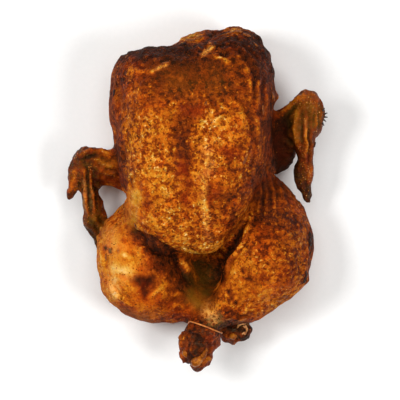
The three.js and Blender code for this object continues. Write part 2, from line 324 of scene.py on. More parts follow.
# ---- Clay: the skin's mesh, shaped in numpy ---------------------------------------------------------
class Clay:
    def __init__(self, mesh):
        self.mesh = mesh
        count = len(mesh.vertices)
        self.points = np.empty(count * 3, np.float32)
        mesh.vertices.foreach_get("co", self.points)
        self.points = self.points.reshape(-1, 3).astype(float) / MM
        self.faces = np.empty(len(mesh.loops), np.int32)
        mesh.loops.foreach_get("vertex_index", self.faces)
        self.faces = self.faces.reshape(-1, 4)
        edges = np.empty(len(mesh.edges) * 2, np.int32)
        mesh.edges.foreach_get("vertices", edges)
        self.edges = edges.reshape(-1, 2)
        self.degree = np.bincount(self.edges.ravel(), minlength=count)[:, None]

    def normals(self):
        a, b, c, d = (self.points[self.faces[:, n]] for n in range(4))
        face = np.cross(c - a, d - b)
        total = np.zeros_like(self.points)
        for axis in range(3):
            share = np.repeat(face[:, axis], 4)
            total[:, axis] = np.bincount(self.faces.ravel(), share, minlength=len(total))
        return total / np.maximum(np.linalg.norm(total, axis=1), 1e-9)[:, None]

    def around(self, values):
        """The mean of each point's neighbours."""
        values = values.reshape(len(self.points), -1)
        total = np.zeros_like(values)
        first, second = self.edges[:, 0], self.edges[:, 1]
        for axis in range(values.shape[1]):
            column = values[:, axis]
            total[:, axis] = np.bincount(first, column[second], minlength=len(total))
            total[:, axis] += np.bincount(second, column[first], minlength=len(total))
        return total / self.degree

    def relax(self, rounds, share=1.0):
        """Evens the surface, all of it or a share of it."""
        share = np.broadcast_to(share, len(self.points))[:, None]
        for _ in range(rounds):
            self.points = self.points + 0.5 * share * (self.around(self.points) - self.points)

    def soften(self, values, rounds):
        for _ in range(rounds):
            values = 0.5 * values + 0.5 * self.around(values)[:, 0]
        return values

    def push(self, height):
        self.points = self.points + self.normals() * height[:, None]

    def write(self):
        self.mesh.vertices.foreach_set("co", (self.points * MM).astype(np.float32).ravel())
        self.mesh.update()

    def note(self, name, *shares):
        """Writes up to three shares of every point on the mesh, as the channels of one attribute."""
        values = np.ones((len(self.points), 4))
        for n, share in enumerate(shares):
            values[:, n] = share
        layer = self.mesh.attributes.new(name, "FLOAT_COLOR", "POINT")
        layer.data.foreach_set("color", values.clip(0, 1).astype(np.float32).ravel())


def object_of(name, mesh):
    made = bpy.data.objects.new(name, mesh)
    bpy.context.scene.collection.objects.link(made)
    return made


def evaluated(source, name):
    """A plain mesh of what an object's modifiers make; the object itself goes."""
    graph = bpy.context.evaluated_depsgraph_get()
    mesh = bpy.data.meshes.new_from_object(source.evaluated_get(graph))
    mesh.name = name
    old = source.data
    bpy.data.objects.remove(source)
    bpy.data.meshes.remove(old)
    return mesh


# ---- Where things are ------------------------------------------------------------------------------
# Limbs along their bones, and below them every fold, browned place, painted shade and painted highlight,
# seen from above.
LEFT_WING = [(-48, 20, 26), (-60, 24, 30), (-81, 31, 41), (-75, -14, 24), (-67.5, -37, 13)]
LEFT_THUMB = [(-86, 24, 36), (-91, 5, 30)]
RIGHT_WING = [(60, 28, 22), (74, 55, 38), (81, 68, 44), (80, 47, 41), (79, 23, 34), (81, -1, 25)]

# Where the skin is drawn a little sideways: the place, the move, and how far it reaches.
DRAWN = [
    ((29, 124), (0, 3.0), 11), ((7, 121), (0, 1.4), 7), ((-8, 117), (-0.6, 1.0), 5),
    ((-18, 111.5), (0, -2.6), 8), ((-26, 111), (0, -2.2), 7), ((-38, 109), (0, -1.0), 6),
    ((-54, 103), (1.0, 0.2), 6), ((-58, 95), (1.2, -0.4), 7), ((-61, 83), (1.8, 0), 8),
    ((-61, 62), (-2.6, 0), 11), ((50, 113), (-1.8, -1.6), 7), ((56, 100), (-2.2, -0.2), 8),
    ((57, 86), (-1.2, 0), 6), ((60, 73), (4.4, 0), 3.6), ((80, 78), (0.2, 1.4), 9),
    ((68, 69), (-0.8, 1.4), 7), ((93, 62), (1.3, 0), 5), ((88, 46), (-1.8, 0.4), 5),
    ((86, 30), (0.9, 0), 8), ((79, 3), (-1.6, -1.6), 4), ((83.5, 2), (1.8, -1.4), 3.5),
    ((82, -2), (0.2, -1.6), 3.5), ((76, 9), (-1.0, 0), 4), ((84, 5.5), (1.6, 0), 3),
    ((85, -1.5), (-1.2, 0), 2.2), ((72, 31), (1.0, -1.6), 3.5), ((65, 20), (-1.2, 1.2), 5),
    ((79, -8), (3.2, 1.4), 8), ((86, -22), (4.6, 0.3), 9), ((86, -36), (2.2, 0), 7),
    ((84.5, -48), (0.4, 0), 4), ((82, -59), (2.8, -1.2), 4), ((47, -87), (0.6, -1.9), 9),
    ((62, -78), (0.2, -0.2), 7), ((-90, 3), (-1.8, -3.6), 4), ((-76, -22), (-1.3, -0.8), 5),
    ((-80, -12), (0.8, 0), 4), ((-70, 4), (-2.6, 0.8), 5), ((-61, 5), (0, -0.6), 5),
    ((-52, 2), (3.0, 0), 4), ((-59, -12), (1.6, -0.6), 5), ((-69, -50), (-1.7, 0), 10),
    ((-66.5, -66), (-2.1, -0.3), 7), ((-55, -81), (1.6, 1.6), 8), ((-45, -86), (0.4, 2.0), 7),
    ((-30, -89), (0, -1.4), 6), ((-9, -89), (0, 2.0), 5), ((-6.5, -94), (-4.2, 0), 4),
    ((-11.5, -102), (0.6, 0), 3), ((-12.5, -110), (2.2, 0), 3), ((15, -110), (-2.4, 0.4), 5),
    ((-4, -121), (2.2, 2.2), 3), ((8.5, -120), (1.2, -0.8), 3), ((26, -104), (0, -1.6), 5),
    ((39, -91), (1.6, 0), 4), ((38, -100), (1.5, -1.6), 5), ((20, -102), (-1.0, -3.0), 3),
    ((-75, 37), (0, 1.1), 10), ((-86, 30), (0.6, -1.0), 5), ((-88, 22), (-1.4, 0), 5),
]

FOLD_SHARE = 1.45  # how deep all the folds are drawn

# The height of each fold, its width, and its route.
FOLDS = [
    # breast: the arc on the right lobe, the keel's edge and the wrinkles above it
    (0.9, 1.5, [(11, 52), (14, 56), (18, 58), (23, 58)]),
    (1.0, 1.8, [(5, 78), (7.4, 70), (12.4, 65), (12, 56)]),
    (1.0, 1.9, [(24.5, 76), (26, 70), (32, 65), (35, 56)]),
    (0.7, 1.5, [(16, 74), (18, 68), (22, 63)]),
    (0.7, 1.5, [(-27, 72), (-22, 70), (-16, 71)]),
    (0.6, 1.4, [(-24, 68), (-19, 67), (-13, 69)]),
    (0.8, 2.6, [(9, 38), (7.5, 18), (6, 2), (8, -12), (9, -30)]),
    (-0.9, 3.0, [(-4, 58), (-6, 40), (-5, 20), (-4, 0)]),
    (0.8, 1.6, [(39, 33), (37.5, 28), (35.5, 22)]),
    (-1.2, 1.7, [(38, 62), (40.5, 52), (41, 41)]),
    (0.9, 1.4, [(-46, 20), (-47.5, 12), (-47, 5)]),
    (0.5, 2.0, [(-43, 4), (-44.5, -8), (-46, -20)]),
    (0.4, 1.6, [(-39.5, 2), (-40.5, -8), (-41.5, -18)]),
    (0.6, 1.8, [(-22, 50), (-14, 46), (-8, 47)]),
    (0.5, 1.8, [(-34, 24), (-27, 20), (-20, 22)]),
    (0.6, 1.7, [(14, -8), (20, -14), (27, -15)]),
    (0.5, 1.6, [(10, -22), (17, -25), (23, -23)]),
    (0.5, 1.6, [(-32, -12), (-24, -18), (-15, -19)]),
    # neck end
    (0.9, 1.8, [(-46, 94), (-38, 90), (-30, 91)]),
    (0.5, 1.6, [(-31, 90), (-25, 93), (-17, 96)]),
    (0.5, 1.5, [(4, 102), (8, 106), (12.5, 109)]),
    (0.9, 1.6, [(13, 103), (18, 100), (25, 97)]),
    (0.9, 2.0, [(-12, 108), (-2, 105), (8, 111)]),
    (0.8, 2.0, [(30, 110), (38, 104), (44, 95)]),
    (0.8, 1.8, [(22, 108), (31, 101), (37, 92)]),
    # flanks: streaks that run towards the legs
    (0.8, 1.7, [(37, 93), (40, 80), (39, 70)]),
    (0.8, 1.8, [(44, 98), (46, 84), (45, 66)]),
    (0.7, 1.6, [(50, 92), (51, 74), (50, 54)]),
    (0.7, 1.6, [(45, 58), (46, 44), (45, 28)]),
    (0.7, 1.7, [(50, 46), (49, 30), (48, 14)]),
    (0.6, 1.6, [(42, 28), (42, 14), (39, 0)]),
    (0.7, 1.6, [(-56, 88), (-57, 72), (-56, 56)]),
    (0.6, 1.6, [(-52, 66), (-51, 50), (-49, 36)]),
    (0.7, 1.6, [(-55, 44), (-52, 28), (-50, 14)]),
    # left leg
    (-2.2, 2.4, [(-48, -19), (-38, -26), (-31, -29), (-22, -34), (-14, -42), (-9, -52), (-4, -61)]),
    (0.9, 1.3, [(-46, -17), (-38, -22), (-30, -26)]),
    (0.9, 1.4, [(-68, -36), (-66.5, -42), (-67, -50)]),
    (0.5, 1.8, [(-34, -71), (-29, -68), (-23, -63)]),
    (0.5, 1.7, [(-30, -76), (-25, -72), (-19, -67)]),
    (0.8, 1.6, [(-37, -67), (-33, -64), (-29, -59)]),
    (-1.0, 3.0, [(-42, -56), (-35, -60), (-31, -57)]),
    (-1.0, 2.4, [(-36, -60), (-35, -70)]),
    (0.8, 1.8, [(-20, -80), (-13, -77), (-7, -79)]),
    (0.8, 1.8, [(-18, -70), (-13, -68), (-8, -70)]),
    (1.1, 2.4, [(-8, -46), (-5, -50), (-2, -53)]),
    (0.7, 1.9, [(-57, -56), (-50, -60), (-44, -66)]),
    (0.7, 1.9, [(-62, -62), (-56, -70), (-48, -76)]),
    (0.6, 1.8, [(-56, -38), (-50, -40), (-45, -44)]),
    # right leg
    (-2.4, 2.2, [(35, -19), (31, -28), (26, -36), (20, -46), (17, -56)]),
    (1.0, 1.3, [(37, -20), (33, -32), (26, -42), (22, -50), (19.5, -58), (19, -65)]),
    (0.8, 1.5, [(46, 16), (47, 4), (45, -12)]),
    (0.8, 1.5, [(50, 18), (51.5, 4), (51, -14)]),
    (0.8, 1.5, [(54, 18), (57, 4), (58, -14)]),
    (0.7, 1.5, [(58, 16), (63, 4), (66, -8)]),
    (0.8, 1.6, [(42, -6), (40, -16), (36, -26)]),
    (0.8, 1.8, [(64, -40), (67, -50), (69, -60)]),
    (0.8, 1.8, [(70, -42), (72, -52), (74, -60)]),
    (0.7, 1.7, [(60, -22), (68, -26), (76, -24)]),
    (0.8, 1.5, [(33, -82), (36, -80), (40, -77)]),
    (0.8, 1.6, [(24, -76), (28, -73), (31, -70)]),
    (0.8, 1.6, [(28, -86), (33, -87), (40, -88)]),
    (0.7, 1.8, [(44, -52), (50, -57), (56, -58)]),
    (0.6, 1.8, [(36, -44), (44, -42), (52, -45)]),
    (0.9, 1.5, [(80, -30), (81, -42), (79, -54)]),
    # left wing: leading edge, thumb, tendons of the hand, web
    (1.0, 1.7, [(-86, 31), (-76, 36), (-60, 33)]),
    (-1.0, 1.4, [(-84, 27), (-74, 31.5), (-60, 29)]),
    (-0.9, 1.0, [(-84.7, 14), (-84.6, 7)]),
    (1.2, 1.2, [(-80.5, 24), (-80, 8), (-78.5, -12)]),
    (-1.1, 1.0, [(-78, 24), (-77.4, 6), (-76.4, -11)]),
    (1.1, 1.1, [(-75.6, 22), (-75, 4), (-74, -9)]),
    (0.8, 1.4, [(-70, 30), (-66, 25), (-58, 24)]),
    (0.8, 1.4, [(-72, 22), (-64, 19), (-56, 18)]),
    (-0.9, 1.6, [(-72, 14), (-64, 11), (-54, 8)]),
    (0.9, 1.3, [(-75, -14), (-71, -17), (-67, -22)]),
    (0.9, 1.3, [(-76, -20), (-72, -24), (-69, -31)]),
    # right wing: top edge, inner bulge, tendons, tip
    (1.0, 1.7, [(61, 60), (70, 69), (80, 76)]),
    (-1.2, 1.5, [(62, 56), (70, 64), (76, 68)]),
    (1.1, 1.6, [(74, 66), (73, 56), (73.5, 42)]),
    (-1.0, 1.2, [(77.6, 62), (78, 50), (77, 38)]),
    (1.1, 1.1, [(80.5, 60), (80.6, 48), (81, 32), (81.5, 18)]),
    (-0.8, 1.0, [(83, 56), (83, 42), (83.2, 28)]),
    (0.9, 1.2, [(86, 68), (88, 60), (88, 50)]),
    (0.8, 1.1, [(84, 72), (85, 64), (84.5, 54)]),
    (0.8, 1.2, [(78, 16), (80, 6), (82, -2)]),
    (0.8, 1.5, [(60, 34), (66, 30), (72, 27)]),
    (0.8, 1.5, [(60, 46), (66, 42), (71, 36)]),
]

# How brown, from 0 for pale to 1 for char, how wide, and where: later ones cover earlier ones. Some marks
# are painted shade and painted highlights, as noted.
BROWNING_AND_PAINTED_LIGHT = [
    (0.50, 60, [(0, 0)]),
    # neck end
    (0.70, 16, [(-50, 84), (-20, 86), (10, 86), (44, 84)]),
    (0.92, 14, [(-52, 102), (-34, 104), (-14, 106), (10, 112), (30, 116), (48, 104)]),
    (1.04, 8, [(-50, 105), (-30, 108), (-10, 108)]),
    (0.98, 9, [(34, 117), (46, 107), (54, 92)]),
    (0.86, 9, [(-4, 98), (20, 104)]),
    (0.50, 4, [(24, 122), (36, 121)]),
    (0.42, 4.5, [(-9, 117), (4, 118)]),
    (0.58, 6, [(-46, 88), (-40, 90)]),
    (0.46, 1.8, [(-30, 91), (-25, 93.5), (-20, 95)]),
    (0.42, 1.8, [(5, 103), (8, 106), (12, 108.5)]),
    (0.42, 2.0, [(14, 102), (19, 100), (24, 97)]),
    (0.72, 9, [(-18, 80), (0, 86), (18, 80)]),
    (0.54, 7, [(-44, 74), (-40, 64)]),
    # left lobe
    (0.54, 12, [(-34, 62), (-22, 54)]),
    (0.47, 15, [(-32, 38), (-30, 8)]),
    (0.46, 14, [(-28, -6), (-14, -22)]),
    (0.50, 4, [(-36, 26), (-30, 20)]),
    (0.52, 3.5, [(-27, 38), (-24, 31)]),
    (0.54, 3.5, [(-33, -4), (-28, -9)]),
    (0.50, 3.5, [(-18, -12), (-14, -20)]),
    (0.27, 3.6, [(-42, 4), (-44.5, -20)]),
    (0.34, 2.0, [(-47, 19), (-47, 5)]),
    # right lobe
    (0.46, 9, [(14, 56), (23, 48)]),
    (0.44, 4.5, [(13, 50), (24, 52)]),
    (0.58, 12, [(22, 36), (22, 12)]),
    (0.68, 4, [(24, 26), (30, 20)]),
    (0.42, 3.5, [(20, 40), (14, 43)]),
    (0.64, 11, [(20, 0), (22, -14)]),
    (0.64, 5, [(22, 34), (31, 29)]),
    (0.74, 3.5, [(14, 4), (22, 1), (32, 4)]),
    (0.45, 3.5, [(14, -20), (18, -29)]),
    (0.76, 3, [(24, -20), (28, -12)]),
    (0.42, 4, [(38, 31), (35, 24)]),
    (0.46, 3.5, [(-47, 97), (-46, 90)]),
    (0.74, 4, [(-8, 35), (-6, 27)]),
    (0.70, 2.5, [(38, 62), (40.5, 51), (41, 42)]),
    # centre
    (0.76, 7, [(-4, 66), (-9, 48), (-9, 28)]),
    (0.68, 6, [(-7, 24), (-6, 8), (-7, -6)]),
    (0.74, 3.5, [(-9, 36), (-9, 30)]),
    (0.70, 2.2, [(-17, 32)]),
    (0.70, 2.4, [(-9, -1)]),
    # A painted highlight along the keel's crest.
    (0.45, 4.4, [(8, 37), (11, 27), (7.5, 18)]),
    (0.47, 3.4, [(6, 10), (6, 0), (8, -14), (9, -30)]),
    (0.38, 8, [(-12, -34), (8, -38)]),
    (0.66, 3.5, [(10, -24), (17, -28)]),
    (0.62, 3.0, [(-3, -22), (1, -30)]),
    # flanks
    (0.71, 8, [(-58, 92), (-57, 50)]),
    (0.80, 6, [(-55, 40), (-52, 12)]),
    (0.82, 9, [(51, 96), (52, 60), (49, 30)]),
    (0.66, 5, [(43, 36), (44, 0)]),
    # Painted shade: the flank beside the right wing lies in the breast's shadow, so it is drawn darker than
    # char.
    (1.10, 5, [(61, 56), (61, 24)]),
    (0.54, 1.8, [(36.5, 92), (40, 78), (38.6, 68)]),
    (0.58, 1.3, [(45.4, 84), (44.6, 66)]),
    (0.62, 1.3, [(50.6, 80), (50.2, 58)]),
    (0.58, 1.3, [(45.4, 58), (46, 44), (45, 30)]),
    (0.64, 1.3, [(49.6, 44), (48, 18)]),
    (0.56, 1.6, [(-56.6, 74), (-55.4, 58)]),
    # left leg
    (0.41, 22, [(-56, -40), (-40, -70)]),
    # Partly pale skin and partly a painted highlight on the left leg's upper outer side.
    (0.36, 8, [(-61, -27), (-58, -36)]),
    (0.43, 9, [(-64, -48), (-60, -66)]),
    # Partly pale skin and partly painted highlights: the cream patches lower on the left leg.
    (0.19, 4, [(-58, -50), (-48, -53)]),
    (0.20, 3.4, [(-59, -59), (-57, -69)]),
    (0.25, 1.8, [(-50.5, -33), (-50.5, -40)]),
    (0.64, 5, [(-41, -58), (-32, -58), (-35, -67)]),
    (0.92, 2.6, [(-42, -58), (-30, -59)]),
    (0.92, 2.2, [(-39, -61), (-33, -62)]),
    (0.92, 2.0, [(-37, -62), (-34.5, -71)]),
    # Painted shade in the deep crease between the breast and the left leg.
    (0.80, 9, [(-24, -46), (-12, -58), (-10, -66)]),
    (0.90, 5, [(-42, -25), (-31, -31), (-20, -38), (-11, -49), (-5, -61)]),
    (0.98, 5, [(-30, -33), (-18, -40), (-11, -48)]),
    (0.64, 3.0, [(-18, -66), (-7, -74)]),
    (0.62, 6, [(-24, -74), (-12, -80)]),
    (0.45, 2.0, [(-33, -71), (-24, -64)]),
    (0.98, 1.1, [(-65, -34.6), (-64.4, -36)]),
    (0.98, 1.2, [(-61.6, -36.5), (-60.8, -39)]),
    (0.66, 2.0, [(-51, -31)]),
    (0.80, 1.2, [(-55.4, -37.2)]),
    (0.62, 7, [(-52, -82), (-36, -88), (-20, -86)]),
    # right leg
    (0.55, 24, [(40, -52), (60, -56)]),
    (0.50, 8, [(30, -50), (42, -44)]),
    (0.78, 12, [(46, 16), (54, 2), (50, -16)]),
    (0.76, 6, [(58, 14), (68, 0)]),
    (0.76, 8, [(60, -12), (74, -18)]),
    (0.62, 8, [(70, -30), (74, -50)]),
    (0.66, 5, [(42, -30), (50, -34)]),
    (0.66, 3.0, [(64, -42), (69, -60)]),
    (0.50, 9, [(36, -68), (58, -70)]),
    (0.40, 4, [(30, -54), (36, -64)]),
    (0.36, 3, [(22, -56), (20, -68)]),
    (0.90, 1.8, [(34, -50)]),
    (0.86, 1.6, [(38, -56), (41, -57)]),
    (0.90, 1.6, [(24, -67)]),
    (0.84, 1.6, [(47, -57), (52, -57)]),
    (0.84, 1.8, [(26, -73), (29, -75)]),
    (0.68, 2.6, [(25, -80), (28, -82)]),
    # A painted highlight on the lit rim of the right leg's inner edge, then painted shade in the slit beside
    # it.
    (0.48, 1.4, [(37.5, -21), (33.5, -33), (29, -41)]),
    (0.98, 3.8, [(33, -23), (26, -36), (18, -48), (14, -60)]),
    (0.95, 3.5, [(85.5, -24), (85.5, -34)]),
    (0.76, 2.5, [(84, -36), (83, -50)]),
    (0.95, 3.0, [(82.5, -53), (81, -60)]),
    (0.36, 2.5, [(34, -81), (39, -78)]),
    (0.50, 3.5, [(50, -80), (62, -74)]),
    # vent, ankles and knuckles
    # Painted shade in the vent's hollow under the breast's tip.
    (1.04, 6, [(-4, -48), (10, -49), (15, -56)]),
    (0.94, 8, [(8, -56), (8, -66)]),
    (0.60, 5, [(1, -72), (5, -78)]),
    (0.48, 3.6, [(-8, -46), (-4, -50)]),
    (0.58, 2.6, [(-2, -52), (0, -58)]),
    (0.30, 5, [(10, -82), (15, -85)]),
    (0.90, 14, [(2, -97), (2, -118)]),
    (0.52, 4, [(2, -119), (7, -117)]),
    (0.50, 3, [(-10, -113)]),
    (0.96, 11, [(22, -93), (36, -97)]),
    (0.75, 4, [(26, -100)]),
]

# The same for the wings alone, with painted shade and painted highlights as noted.
WINGS_BROWNING_AND_PAINTED_LIGHT = [
    # left wing
    (0.80, 15, [(-58, 26), (-80, 30), (-78, -2), (-70, -30)]),
    # Painted shade: a shadow band across the left wing.
    (0.92, 5, [(-74, 24), (-72, 12)]),
    (0.70, 2.6, [(-84, 32), (-74, 36.5), (-60, 34)]),
    # Painted shade in the crease under the left wing's leading edge.
    (0.90, 2.4, [(-84, 30), (-74, 33), (-60, 31)]),
    (0.50, 3.5, [(-70, 28), (-64, 25), (-57, 26)]),
    (0.86, 3.0, [(-66, 17), (-58, 14)]),
    # Painted highlights along the left hand's two tendons, with painted shade in the groove between them.
    (0.66, 1.8, [(-81, 20), (-79.6, 4), (-79, -11)]),
    (0.68, 1.5, [(-75.4, 20), (-75, 6), (-74, -8)]),
    (0.84, 1.2, [(-78.4, 24), (-77, 8), (-76.4, -11)]),
    (0.50, 2.8, [(-87, 20), (-90.5, 7)]),
    (0.86, 2.4, [(-90, 3), (-92, -1)]),
    (0.94, 3.6, [(-71, 13), (-58, 8)]),
    (0.62, 3.0, [(-66, -5), (-66, -16)]),
    (0.62, 4.0, [(-74, -12), (-69, -20)]),
    (0.88, 3.0, [(-78, -16), (-76, -24), (-70, -30)]),
    # right wing
    (0.72, 13, [(76, 66), (84, 44), (80, 6)]),
    # Painted shade: the right wing's web beside the body lies in the breast's shadow, so it is drawn darker
    # than char.
    (1.20, 12, [(61, 58), (60, 36), (64, 22)]),
    (0.56, 4.0, [(62, 63), (70, 70), (79, 77), (88, 72)]),
    (0.54, 4.0, [(75, 64), (73, 50), (75, 40)]),
    (0.84, 2.2, [(84, 64), (83, 57)]),
    (0.58, 3.0, [(88, 68), (90, 58)]),
    # A painted highlight along a tendon of the right wing.
    (0.56, 1.6, [(80.5, 58), (81, 34)]),
    (0.82, 2.0, [(77.6, 66), (77.6, 60)]),
    (0.56, 2.0, [(84, 22), (83, 12)]),
    (0.94, 4.5, [(80, 8), (82, -3)]),
]

# How thickly speckled, from 0 for smooth to 1 for dark dots all over.
SPECKLED = [
    (0.20, 22, [(-60, -34), (-40, -70)]),
    (0.75, 6, [(-24, -76), (-8, -84)]),
    (0.35, 13, [(36, -68), (60, -68)]),
    (0.50, 9, [(48, 8), (64, 6)]),
    (0.45, 6, [(26, -44), (19, -64)]),
    (0.30, 9, [(2, -52), (3, -78)]),
    (0.35, 6, [(-43, 4), (-45, -20)]),
    (0.55, 9, [(51, 90), (49, 30)]),
    (0.60, 12, [(-30, 90), (30, 92)]),
]

# How strong, how wide, and where the skin is redder.
REDDENED = [
    (0.8, 5, [(-10, 26), (-5, 10), (-4, -4)]),
    (0.6, 5, [(-7, 64), (6, 61)]),
    (0.4, 3, [(-47, 96), (-40, 95)]),
    (0.5, 5, [(22, 34), (33, 29)]),
    (0.5, 5, [(-42, -58), (-34, -66)]),
    (0.5, 5, [(-18, -78), (-8, -82)]),
    (0.5, 6, [(-66, 16), (-56, 14)]),
    (0.15, 8, [(60, 44), (66, 30)]),
    (0.4, 5, [(12, -100), (14, -112)]),
    (0.4, 6, [(64, -45), (70, -58)]),
    (0.5, 4, [(8, -2), (14, 6)]),
    (0.4, 5, [(81, 36), (82, 20)]),
]

# The same, where it is dark and purplish rather than brown; one is painted shade, as noted.
PURPLED = [
    (0.7, 6, [(-48, 104), (-30, 107), (-12, 107)]),
    (0.7, 8, [(36, 114), (46, 104), (52, 90)]),
    (0.5, 8, [(50, 80), (50, 40)]),
    (0.6, 6, [(-55, 36), (-51, 14)]),
    (0.6, 5, [(-9, 46), (-9, 30)]),
    (0.6, 8, [(50, 16), (50, -8)]),
    (0.9, 8, [(62, -12), (76, -24)]),
    (0.5, 5, [(68, -50), (70, -42)]),
    # Painted shade: purplish dark in the crease between the breast and the left leg.
    (0.6, 4, [(-40, -26), (-28, -31)]),
    (0.9, 6, [(80, 9), (82, -3)]),
    (0.4, 8, [(0, -98), (-4, -112)]),
    (0.4, 6, [(72, -40), (78, -56)]),
]

# The same, where it is pale and pinkish; some are painted highlights, as noted.
PALED = [
    # A painted highlight along the keel's crest.
    (0.20, 3.4, [(8, 37), (10, 24), (7, 16)]),
    (0.16, 2.6, [(6, 10), (8, -12), (9, -28)]),
    # Partly pale skin and partly painted highlights on the left leg's outer side.
    (0.32, 5, [(-61, -26), (-58, -36)]),
    (0.5, 4, [(-57, -50), (-48, -53)]),
    (0.4, 3.2, [(-59, -59), (-57, -69)]),
    (0.6, 4.5, [(10, -81), (15, -86)]),
    (0.2, 1.5, [(30, -90), (41, -90)]),
    (0.3, 1.4, [(-28, 92), (-21, 95)]),
    (0.4, 1.4, [(6, 104), (12, 108.5)]),
    # Painted highlights along the wings' tendons.
    (0.3, 1.2, [(80.4, 58), (80.8, 47)]),
    (0.4, 1.1, [(-80.6, 14), (-79.2, -8)]),
    (0.3, 0.9, [(-75.2, 8), (-74.6, -6)]),
    (0.15, 5, [(-52, -84), (-30, -89)]),
]

# The same, where it is olive.
OLIVE = [
    (0.3, 7, [(72, 66), (78, 70), (86, 68)]),
    (0.45, 3.0, [(-41, 3), (-44, -20)]),
    (0.22, 10, [(-16, 84), (14, 84)]),
    (0.5, 9, [(4, -52), (5, -70)]),
    (0.7, 4.5, [(-3, -69), (3, -76)]),
    (0.5, 5, [(-74, -14), (-68, -22)]),
    (0.5, 4, [(73, 62), (73, 44)]),
    (0.4, 4, [(-70, 27), (-60, 26)]),
    (0.4, 5, [(86, 64), (88, 56)]),
]


def covered(points, start, marks):
    """Lays marks over each other, each as (value, width, route), from a starting value."""
    value = np.full(len(points), float(start))
    for target, width, route in marks:
        value += (target - value) * dab(points, width, route)
    return value


def summed(points, marks):
    return sum(strength * dab(points, width, route) for strength, width, route in marks).clip(0, 1)


def frayed(points, reach, seed, fine=0.5):
    """The points moved a little, so that what is laid down on them gets ragged edges."""
    moved = points.copy()
    for axis in range(2):
        moved[:, axis] += reach * waves(points, 7, seed + axis)
        moved[:, axis] += fine * reach * waves(points, 2.7, seed + 5 + axis)
    return moved


def limb_share(points, route, radius):
    return 1 - rising(beside(points, route)[0], radius * 0.8, radius * 1.3)


class Bird:
    """Where each part of the skin is: shares from 0 to 1 for every point."""

    def __init__(self, clay):
        points = clay.points
        self.upper = rising(clay.normals()[:, 2], -0.45, 0.1)
        left = limb_share(points, LEFT_WING, 11) * rising(points[:, 0], -54, -60)
        left = np.maximum(left, limb_share(points, LEFT_THUMB, 7))
        right = limb_share(points, RIGHT_WING, 12) * rising(points[:, 0], 57, 61)
        self.wings = np.maximum(left, right)
        self.knuckles = rising(points[:, 1], HOCK_Y + 2, HOCK_Y - 5)
        self.neck_end = rising(points[:, 1], 92, 108) * (1 - self.wings)
        self.legs = rising(points[:, 1], 10, -20) * rising(np.abs(points[:, 0] - MIDDLE_X), 24, 44)
        self.legs = self.legs * (1 - self.wings) * (1 - self.knuckles)


# ---- The skin's shape -------------------------------------------------------------------------------
def fine_copy(node):
    mesh = merged_copy(node)
    copy = object_of("fine_copy", mesh)
    remesh = copy.modifiers.new("fine", "REMESH")
    remesh.mode = "VOXEL"
    remesh.voxel_size = VOXEL * MM
    return evaluated(copy, "roasted_skin")


def merged_copy(node):
    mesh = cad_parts[node].data.copy()
    work = bmesh.new()
    work.from_mesh(mesh)
    bmesh.ops.remove_doubles(work, verts=work.verts, dist=1e-6)
    work.to_mesh(mesh)
    work.free()
    mesh.materials.clear()
    return mesh


def draw_out(clay):
    for place, move, reach in DRAWN:
        clay.points[:, :2] += np.outer(dab(clay.points, reach, [place]), move)


def shape_skin(clay):
    """Lumps, puckers, folds and gnarled ends; returns the small relief, in millimetres."""
    bird = Bird(clay)
    smooth = 1 - np.maximum(bird.wings, bird.knuckles)
    clay.relax(8, 0.3)
    clay.relax(44, smooth)
    outer_legs = bird.legs * rising(np.abs(clay.points[:, 0] - MIDDLE_X), 38, 52)
    clay.relax(110, outer_legs)
    clay.push(0.35 * smooth + 0.6 * outer_legs + 0.1)
    draw_out(clay)
    points = clay.points
    clay.push(smooth * (0.9 * waves(points, 36, 1) + 0.6 * waves(points, 19, 2)))
    points = clay.points
    height = smooth * (0.40 * waves(points, (8, 11, 8), 3) + 0.34 * waves(points, 4.2, 4))
    height += 0.42 * smooth * crinkles(points, (7, 5, 6), 5) * rising(waves(points, 22, 6), -0.1, 0.5)
    bumps, own = pores(points, 6.5, 11)
    height += 0.35 * smooth * np.exp(-((bumps / 0.22) ** 2)) * rising(own, 0.35, 0.7)
    height += bird.neck_end * (0.9 * waves(points, 6, 21) + 1.0 * crinkles(points, 5, 22))
    height += bird.wings * (0.8 * crinkles(points, (3.2, 9, 4), 24) + 0.6 * waves(points, (4, 7, 4), 25))
    height += bird.knuckles * (1.5 * waves(points, 6.5, 26) + 1.6 * crinkles(points, 5.2, 27) - 0.7)
    height += 0.5 * bird.knuckles * waves(points, 3.0, 28)
    ragged = frayed(points, 1.0, 31, fine=0.2)
    folds = sum(fold(ragged, FOLD_SHARE * high, width, route) for high, width, route in FOLDS)
    folds = folds * bird.upper
    clay.push(height + folds)
    clay.points[:, 2] = np.maximum(clay.points[:, 2], 0)
    return bird, height + 1.3 * folds


def fringed(clay, seed):
    """Ragged points for marks: more ragged on steep sides, where a mark would stretch to a stripe."""
    steep = rising(clay.normals()[:, 2], 0.5, 0.0)
    return frayed(clay.points, 1.6 + 5.5 * steep, seed)


def browning(clay, bird, height):
    """How brown each point is, with painted shade and painted highlights laid into it."""
    points = fringed(clay, 41)
    hidden = 1 - rising(clay.normals()[:, 2] + 0.3 * waves(clay.points, 15, 46), -0.4, 0.1)
    below = 0.52 + 0.12 * waves(clay.points, 17, 42) + 0.08 * waves(clay.points, 6, 43)
    brown = covered(points, 0.5, BROWNING_AND_PAINTED_LIGHT)
    brown += (covered(points, 0.8, WINGS_BROWNING_AND_PAINTED_LIGHT) - brown) * bird.wings
    brown = brown + hidden * (below - brown) * (1 - bird.wings) * (1 - bird.knuckles)
    # Painted shade and painted light: browner where the skin is sunk, in creases and folds, and paler where
    # it is raised.
    relief = height - clay.soften(height, 10)
    brown = brown - 0.17 * relief.clip(-1.6, 1.2)
    brown += 0.045 * waves(clay.points, 11, 44) + 0.05 * waves(clay.points, 4.5, 45)
    return brown


